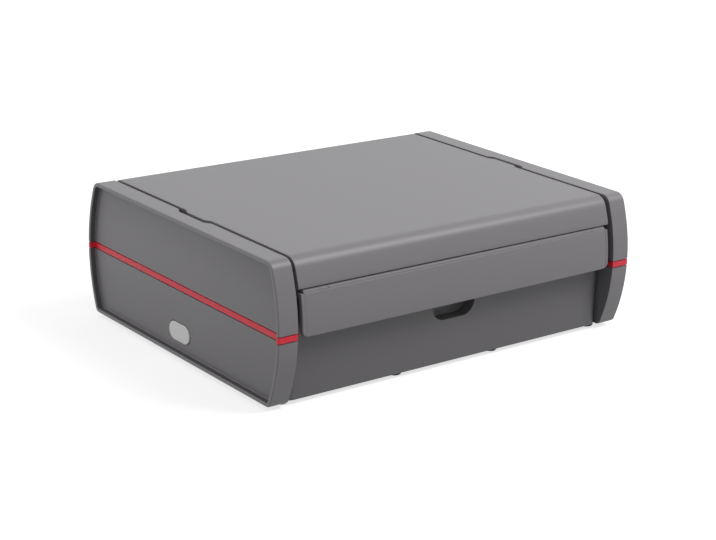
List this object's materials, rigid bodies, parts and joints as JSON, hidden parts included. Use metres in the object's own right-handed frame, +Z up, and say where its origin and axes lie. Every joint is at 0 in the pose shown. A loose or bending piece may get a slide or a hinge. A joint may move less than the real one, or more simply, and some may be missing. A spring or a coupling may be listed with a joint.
{
  "type": "electric lunch box",
  "caption": "Heated lunch box with barrel-shaped side cheeks, a rear-hinged flat lid, a long front latch flap, a lined cavity and a lidded food dish.",
  "frame": {"origin": "middle of the footprint, on the plane the feet stand on", "axes": "+X to the right side cheek, +Y to the rear where the lid is hinged, +Z up; the latch flap faces -Y"},
  "size_m": [0.265, 0.209, 0.0872],
  "materials": {
    "grey_plastic": "fine matte texture",
    "deck_plastic": "fine matte texture",
    "liner_metal": "drawn and brushed",
    "plate_metal": "milled",
    "element_film": "etched foil in film",
    "insulation": "fibre board",
    "black_bakelite": "moulded",
    "fuse_ceramic": "glazed",
    "board_green": "solder resist",
    "part_black": "moulded",
    "inlet_white": "smooth",
    "stopper_white": "satin silicone",
    "pin_brass": "nickel plated",
    "wire_blue": "insulated wire",
    "wire_red": "insulated wire",
    "foot_rubber": "dark matte",
    "screw_steel": "zinc plated",
    "stripe_red": "smooth",
    "dish_steel": "drawn stainless steel",
    "dish_lid_plastic": "milky",
    "seal_red": "silicone",
    "lid_liner_plastic": "smooth",
    "seal_grey": "silicone"
  },
  "bodies": {
    "base": {"base_shell": "grey_plastic", "deck_frame": "deck_plastic", "cavity_liner": "liner_metal", "heater_plate": "plate_metal", "heater_element": "element_film", "heater_insulation": "insulation", "thermostat": "black_bakelite", "thermal_fuse": "fuse_ceramic", "control_board": "board_green", "board_parts": "part_black", "power_inlet": "inlet_white", "inlet_pins": "pin_brass", "inlet_wires": "wire_blue", "heater_wires": "wire_red", "rubber_feet": "foot_rubber", "deck_screws": "screw_steel", "cheek_screws": "screw_steel", "left_cheek": "grey_plastic", "right_cheek": "grey_plastic", "left_stripe": "stripe_red", "right_stripe": "stripe_red", "hinge_pins": "screw_steel", "food_dish": "dish_steel", "dish_lid": "dish_lid_plastic", "dish_seal": "seal_red"},
    "lid": {"lid_shell": "grey_plastic", "lid_liner": "lid_liner_plastic", "lid_insulation": "insulation", "lid_seal": "seal_grey", "lid_screws": "screw_steel", "flap_rod": "screw_steel"},
    "flap": {"front_flap": "grey_plastic"},
    "stopper": {"inlet_stopper": "stopper_white"}
  },
  "joints": [
    {"name": "lid_hinge", "type": "hinge", "parent": "base", "child": "lid", "pos_m": [0, 0.098, 0.0652], "axis": [-1, 0, 0], "range_deg": [0, 95]},
    {"name": "flap_hinge", "type": "hinge", "parent": "lid", "child": "flap", "pos_m": [0, -0.09877, 0.0673], "axis": [-1, 0, 0], "range_deg": [0, 80]},
    {"name": "stopper_pull", "type": "slide", "parent": "base", "child": "stopper", "axis": [-1, 0, 0], "range_m": [0, 0.014]}
  ]
}
